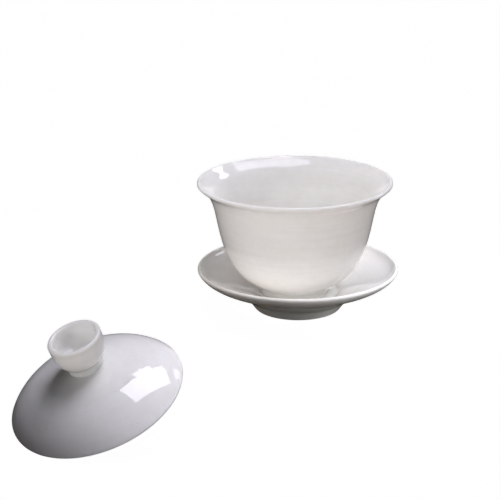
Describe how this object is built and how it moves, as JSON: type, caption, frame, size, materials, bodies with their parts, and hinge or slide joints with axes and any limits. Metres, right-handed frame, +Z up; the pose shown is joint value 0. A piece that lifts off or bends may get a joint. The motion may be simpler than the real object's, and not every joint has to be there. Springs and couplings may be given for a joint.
{
  "type": "gaiwan",
  "caption": "Lidded tea bowl on its saucer in white glazed porcelain, with a flared mouth and the domed, cup-knobbed lid laid tilted beside it.",
  "frame": {"origin": "centre of the saucer's foot ring, on the table it stands on", "axes": "+Z up along the saucer's axis; -Y toward the front, where the lid lies to the left; +X to the right"},
  "size_m": [0.1753, 0.2322, 0.0661],
  "materials": {
    "saucer_glaze": "clear gloss glaze over warm white porcelain",
    "bowl_glaze": "clear gloss glaze over warm white porcelain",
    "lid_glaze": "clear gloss glaze over warm white porcelain",
    "knob_glaze": "clear gloss glaze over warm white porcelain"
  },
  "bodies": {
    "saucer": {"saucer": "saucer_glaze"},
    "bowl": {"bowl": "bowl_glaze"},
    "lid": {"lid_dome": "lid_glaze", "lid_knob": "knob_glaze"}
  },
  "joints": [
    {"name": "bowl_lift", "type": "slide", "parent": "saucer", "child": "bowl", "axis": [0, 0, 1], "range_m": [0, 0.06]},
    {"name": "lid_lift", "type": "slide", "parent": "saucer", "child": "lid", "axis": [0, 0, 1], "range_m": [0, 0.1]}
  ]
}
